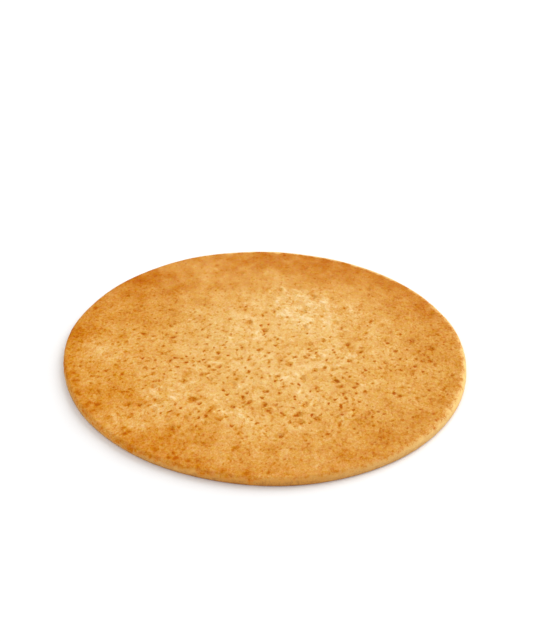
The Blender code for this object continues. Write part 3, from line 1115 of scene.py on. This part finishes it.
    def scorch(self, tree: bpy.types.NodeTree, marks: Marks, spot: Socket) -> tuple[Socket, Socket]:
        """Scorch, from 0 to 1: each bubble's amber halo, and inside it a dark core that noise bends.

        The halo goes with how hard the bubble was burnt, and the core with the square of that.

        Args:
            tree: the node tree.
            marks: the mesh's marks, as sockets.
            spot: the place on the bread.

        Returns:
            The halo and the core.
        """
        links = {"Value": marks[Mark.CHAR], "From Min": self.halo_from[0], "From Max": self.halo_from[1]}
        halo = add_node(tree, "MapRange", links, interpolation_type="SMOOTHSTEP").outputs[0]
        links = {"Vector": spot, "Scale": PER_MM / self.core_bend_size, "Detail": 1.0}
        variety = add_node(tree, "TexNoise", links).outputs["Color"]
        most, half = self.core_bend, -self.core_bend / 2.0
        links = {0: variety, 1: (most, most, 0.0), 2: (half, half, 0.0)}
        bend = add_node(tree, "VectorMath", links, operation="MULTIPLY_ADD").outputs[0]
        heart = add_node(tree, "CombineXYZ", {0: marks[Mark.ALONG], 1: marks[Mark.ACROSS]}).outputs[0]
        heart = add_node(tree, "VectorMath", {0: heart, 1: bend}, operation="ADD").outputs[0]
        heart = add_node(tree, "VectorMath", {0: heart}, operation="LENGTH").outputs["Value"]
        links = {"Value": heart, "From Min": self.core_from[0], "From Max": self.core_from[1]}
        core = add_node(tree, "MapRange", links, interpolation_type="SMOOTHSTEP").outputs[0]
        halo = add_node(tree, "Math", {0: halo, 1: marks[Mark.BURN]}, operation="MULTIPLY").outputs[0]
        for amount in (halo, marks[Mark.BURN]):
            core = add_node(tree, "Math", {0: core, 1: amount}, operation="MULTIPLY").outputs[0]
        return halo, core

    def swellings(self, tree: bpy.types.NodeTree, marks: Marks, noises: Noises) -> Socket:
        """Small swellings of the puckered skin, from 0 to 1, paled partly as painted highlight.

        Args:
            tree: the node tree.
            marks: the mesh's marks, as sockets.
            noises: the noises, by name.

        Returns:
            The swellings.
        """
        start, full = self.swelling_from
        links = {"Value": noises["skin"], "From Min": start, "From Max": full}
        swelling = add_node(tree, "MapRange", links, interpolation_type="SMOOTHSTEP").outputs[0]
        return add_node(tree, "Math", {0: swelling, 1: marks[Mark.PUCKER]}, operation="MULTIPLY").outputs[0]

    def unevenness(self, tree: bpy.types.NodeTree, marks: Marks, noises: Noises) -> tuple[Socket, Socket]:
        """Blotches, weaker where the dough was lively, and the grain with the flour, both round zero.

        Args:
            tree: the node tree.
            marks: the mesh's marks, as sockets.
            noises: the noises, by name.

        Returns:
            The blotches, and the grain with the flour.
        """
        strong, weak = self.blotch_strength
        links = {"Value": marks[Mark.LIVELY], "To Min": strong, "To Max": weak}
        strength = add_node(tree, "MapRange", links).outputs[0]
        blotch = add_node(tree, "Math", {0: noises["mottle"], 1: 0.5}, operation="SUBTRACT").outputs[0]
        blotch = add_node(tree, "Math", {0: blotch, 1: strength}, operation="MULTIPLY").outputs[0]
        links = {0: noises["flour"], 1: self.flour_share, 2: noises["grain"]}
        fine = add_node(tree, "Math", links, operation="MULTIPLY_ADD").outputs[0]
        middle = 0.5 * (1.0 + self.flour_share)
        fine = add_node(tree, "Math", {0: fine, 1: middle}, operation="SUBTRACT").outputs[0]
        fine = add_node(tree, "Math", {0: fine, 1: marks[Mark.GRAINY]}, operation="MULTIPLY").outputs[0]
        return blotch, fine

    def tinted(self, tree: bpy.types.NodeTree, marks: Marks, spot: Socket, crust: Socket) -> Socket:
        """The crust's colour with some specks yellower or redder, and some stronger or weaker in colour.

        Args:
            tree: the node tree.
            marks: the mesh's marks, as sockets.
            spot: the place on the bread.
            crust: the crust's colour.

        Returns:
            The varied colour.
        """
        links = {"Vector": spot, "Scale": PER_MM / self.tint_size, "Detail": 2.0, "Roughness": 0.80}
        tints = add_node(tree, "TexNoise", links).outputs["Color"]
        tints = add_node(tree, "SeparateColor", {"Color": tints}).outputs
        shifts = []
        for tint, ends, steps in (
            (tints[0], self.hue, ((Mark.LIVELY, self.hue_lively), (Mark.RICH, self.hue_rich))),
            (tints[1], self.saturation, ((Mark.RICH, self.saturation_rich),)),
        ):
            links = {"Value": tint, "To Min": ends[0], "To Max": ends[1]}
            shift = add_node(tree, "MapRange", links).outputs[0]
            for mark, share in steps:
                links = {0: marks[mark], 1: share, 2: shift}
                shift = add_node(tree, "Math", links, operation="MULTIPLY_ADD").outputs[0]
            shifts.append(shift)
        links = {"Hue": shifts[0], "Saturation": shifts[1], "Color": crust}
        return add_node(tree, "HueSaturation", links).outputs[0]

    def side(self, tree: bpy.types.NodeTree, marks: Marks, patterns: list[Socket], crust: Socket) -> Socket:
        """The crust's colour with the rim's pale side band over it, tan to cream, and darker at the foot.

        The band is partly the side's own unroasted colour and partly painted light; its darker foot is
        painted shade.

        Args:
            tree: the node tree.
            marks: the mesh's marks, as sockets.
            patterns: the mottle and the fine pattern, which vary the side and make its border ragged.
            crust: the crust's colour.

        Returns:
            The colour of the whole bread.
        """
        links = {"Value": marks[Mark.BROW], "From Min": self.side_from[0], "From Max": self.side_from[1]}
        height = add_node(tree, "MapRange", links).outputs[0]
        border = marks[Mark.BARE_AND_LIT]
        for pattern, on_side, on_border in zip(patterns, self.side_patterns, self.border_patterns):
            links = {0: pattern, 1: on_side, 2: height}
            height = add_node(tree, "Math", links, operation="MULTIPLY_ADD").outputs[0]
            links = {0: pattern, 1: on_border, 2: border}
            border = add_node(tree, "Math", links, operation="MULTIPLY_ADD").outputs[0]
        middle = 0.5 * self.side_patterns[0]
        height = add_node(tree, "Math", {0: height, 1: middle}, operation="SUBTRACT").outputs[0]
        # The side runs from a darker foot to a lighter top: painted shade at the foot, and painted light at
        # the rounded top edge.
        ends = []
        for foot, top in (self.tan, self.cream):
            links = {0: height, 6: linear(foot), 7: linear(top)}
            ends.append(add_node(tree, "Mix", links, data_type="RGBA").outputs[2])
        # Cream where the light falls on the right and back, tan in the shade at the front: partly the side's
        # own colour, partly painted light and shade.
        links = {0: marks[Mark.CREAM], 6: ends[0], 7: ends[1]}
        bare_and_lit = add_node(tree, "Mix", links, data_type="RGBA").outputs[2]
        limits = []
        for value, (start, full) in ((border, self.border_from), (marks[Mark.BROW], self.under_from)):
            links = {"Value": value, "From Min": start, "From Max": full}
            limits.append(add_node(tree, "MapRange", links, interpolation_type="SMOOTHSTEP").outputs[0])
        share = add_node(tree, "Math", {0: limits[0], 1: limits[1]}, operation="MULTIPLY").outputs[0]
        return add_node(tree, "Mix", {0: share, 6: crust, 7: bare_and_lit}, data_type="RGBA").outputs[2]

    def relief(self, tree: bpy.types.NodeTree, noises: Noises, shapes: list[tuple[Socket, float]]) -> Socket:
        """Relief finer than the mesh: the blotches' soft swell, then the grain with its shapes, then flour.

        Args:
            tree: the node tree.
            noises: the noises, by name.
            shapes: patterns, each with how far it raises the grain, or dents it where negative.

        Returns:
            The normal of the surface.
        """
        grain = noises["grain"]
        for amount, share in shapes:
            links = {0: amount, 1: share, 2: grain}
            grain = add_node(tree, "Math", links, operation="MULTIPLY_ADD").outputs[0]
        links = {"Height": noises["mottle"], "Strength": 1.0, "Distance": self.blotch_relief}
        normal = add_node(tree, "Bump", links).outputs[0]
        for height, depth in ((grain, self.grain_relief), (noises["flour"], self.flour_relief)):
            links = {"Height": height, "Strength": 1.0, "Distance": depth, "Normal": normal}
            normal = add_node(tree, "Bump", links).outputs[0]
        return normal

    def material(self) -> bpy.types.Material:
        """Builds the node tree: the sum of all browning, its colour, the rim's side, and fine relief.

        Returns:
            The material.
        """
        material = bpy.data.materials.new("roasted_wheat_crust")
        material.use_nodes = True
        tree = material.node_tree
        tree.nodes.clear()
        spot = add_node(tree, "TexCoord", {}).outputs["Object"]
        marks = {}
        for mark in Mark:
            marks[mark] = add_node(tree, "Attribute", {}, attribute_name=mark.value).outputs["Fac"]

        # Rolling drew the bubbles out along one line, and the skin wrinkled along another.
        lines = []
        for slant, stretch in (self.pits_drawn, self.creases_drawn):
            links = {"Vector": spot, "Rotation": (0.0, 0.0, slant), "Scale": (stretch, 1.0, 1.0)}
            lines.append(add_node(tree, "Mapping", links, vector_type="TEXTURE").outputs[0])
        drawn, creased = lines
        noises = self.noises(tree, spot, drawn, creased)
        fleck = self.flecks(tree, marks, noises)
        hole = self.pinholes(tree, marks, noises, drawn)
        halo, core = self.scorch(tree, marks, spot)
        swelling = self.swellings(tree, marks, noises)
        blotch, fine = self.unevenness(tree, marks, noises)

        browning = marks[Mark.TOAST]
        for amount, share in (
            (blotch, self.blotch_share),
            (fine, self.fine_share),
            (fleck, self.fleck_share),
            (hole, self.hole_share),
            (halo, self.halo_share),
            (core, self.core_share),
            # the pale creases and swellings: partly painted highlight on raised skin
            (marks[Mark.CREASE], self.crease_share),
            (swelling, self.swelling_share),
        ):
            links = {0: amount, 1: share, 2: browning}
            browning = add_node(tree, "Math", links, operation="MULTIPLY_ADD").outputs[0]
        pale, scorched = self.browning_from
        links = {"Value": browning, "From Min": pale, "From Max": scorched}
        browning = add_node(tree, "MapRange", links).outputs[0]
        crust = add_node(tree, "ValToRGB", {"Fac": browning}, stops=self.browning).outputs["Color"]
        crust = self.tinted(tree, marks, spot, crust)
        colour = self.side(tree, marks, [noises["mottle"], fine], crust)

        shapes = [(fleck, self.fleck_dent), (hole, self.hole_dent), (swelling, self.swelling_rise)]
        normal = self.relief(tree, noises, shapes)
        links = {"Value": noises["grain"], "To Min": self.roughness[0], "To Max": self.roughness[1]}
        roughness = add_node(tree, "MapRange", links).outputs[0]
        links = {"Base Color": colour, "Roughness": roughness, "Normal": normal}
        shader = add_node(tree, "BsdfPrincipled", links)
        shader.inputs["Specular IOR Level"].default_value = self.specular
        add_node(tree, "OutputMaterial", {"Surface": shader.outputs[0]})
        return material


@dataclass(frozen=True)
class StudioPaper:
    """Matt white background paper: it gives an even pale floor with no gloss."""

    colour: str = "F6F6F6"
    roughness: float = 0.9
    specular: float = 0.1

    def material(self) -> bpy.types.Material:
        """A plain diffuse white with hardly any gloss.

        Returns:
            The material.
        """
        material = bpy.data.materials.new("matt_white_paper")
        material.use_nodes = True
        shader = material.node_tree.nodes["Principled BSDF"]
        shader.inputs["Base Color"].default_value = linear(self.colour)
        shader.inputs["Roughness"].default_value = self.roughness
        shader.inputs["Specular IOR Level"].default_value = self.specular
        return material


@dataclass(frozen=True)
class Lamp:
    """A square soft box, given by the direction that it shines from and its distance from the bread."""

    name: str
    azimuth: float
    elevation: float
    distance: float
    side: float
    power: float
    colour: str = "FFFFFF"

    def build(self) -> bpy.types.Object:
        """Adds the lamp, turned to the bread. Azimuth 0 is +X and 90 degrees is +Y.

        Returns:
            The lamp's object.
        """
        data = bpy.data.lights.new(self.name, "AREA")
        data.size = self.side
        data.energy = self.power
        data.color = linear(self.colour)[:3]
        lamp = bpy.data.objects.new(self.name, data)
        azimuth, elevation = math.radians(self.azimuth), math.radians(self.elevation)
        level = math.cos(elevation)
        away = Vector((math.cos(azimuth) * level, math.sin(azimuth) * level, math.sin(elevation)))
        lamp.location = away * self.distance
        lamp.rotation_euler = away.to_track_quat("Z", "Y").to_euler()
        bpy.context.scene.collection.objects.link(lamp)
        return lamp


@dataclass(frozen=True)
class Studio:
    """A pale floor, soft light from the back right, and a camera that looks down on the bread."""

    floor_reach: float = 3.0
    floor_sides: int = 64
    paper: StudioPaper = StudioPaper()
    sky: str = "FFFFFF"
    sky_strength: float = 0.60
    lamps: tuple[Lamp, ...] = (
        Lamp("key_light", azimuth=46.0, elevation=38.0, distance=1.8, side=1.9, power=31.9),
        Lamp("fill_light", azimuth=-112.0, elevation=32.0, distance=1.8, side=1.2, power=9.0),
    )

    focal_length: float = 65.75
    camera_distance: float = 352.5 * MM
    camera_elevation: float = 34.32
    tilt_up: float = 1.70
    roll: float = 1.788
    clip_start: float = 10.0 * MM

    def floor(self) -> bpy.types.Object:
        """A round, flat sheet of paper under the bread, which isn't part of it.

        Returns:
            The floor's object.
        """
        angle = np.arange(self.floor_sides) * TURN / self.floor_sides
        ring = np.column_stack([np.cos(angle), np.sin(angle), np.zeros_like(angle)]) * self.floor_reach
        mesh = bpy.data.meshes.new("studio_floor")
        mesh.from_pydata(ring.tolist(), [], [list(range(self.floor_sides))])
        mesh.materials.append(self.paper.material())
        floor = bpy.data.objects.new("studio_floor", mesh)
        bpy.context.scene.collection.objects.link(floor)
        return floor

    def camera(self) -> bpy.types.Object:
        """The camera: it stands in front, looks at the origin, then tilts up and rolls a little.

        Returns:
            The camera's object.
        """
        data = bpy.data.cameras.new("camera")
        data.lens = self.focal_length
        data.clip_start = self.clip_start
        camera = bpy.data.objects.new("camera", data)
        elevation = math.radians(self.camera_elevation)
        place = self.camera_distance * Vector((0.0, -math.cos(elevation), math.sin(elevation)))
        aim = Matrix.Rotation(math.pi / 2 - elevation, 4, "X")
        tilt = Matrix.Rotation(math.radians(self.tilt_up), 4, "X")
        roll = Matrix.Rotation(math.radians(self.roll), 4, "Z")
        camera.matrix_world = Matrix.Translation(place) @ aim @ tilt @ roll
        bpy.context.scene.collection.objects.link(camera)
        bpy.context.scene.camera = camera
        return camera

    def build(self) -> None:
        """Sets up the floor, the lamps, the even light of the room, and the camera."""
        self.floor()
        for lamp in self.lamps:
            lamp.build()
        world = bpy.data.worlds.new("studio")
        world.use_nodes = True
        background = world.node_tree.nodes["Background"]
        background.inputs["Color"].default_value = linear(self.sky)
        background.inputs["Strength"].default_value = self.sky_strength
        bpy.context.scene.world = world
        bpy.context.scene.view_settings.view_transform = "Standard"
        self.camera()


def main() -> None:
    """Builds the bread and the studio, and reports each piece."""
    logging.basicConfig(level=logging.INFO, format="%(message)s")
    bread = Bread().build(RoastedCrust())
    LOG.info("%s: %d faces, %d points", bread.name, len(bread.data.polygons), len(bread.data.vertices))
    Studio().build()
    LOG.info("studio: floor, lamps and camera")


if __name__ == "__main__":
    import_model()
    main()
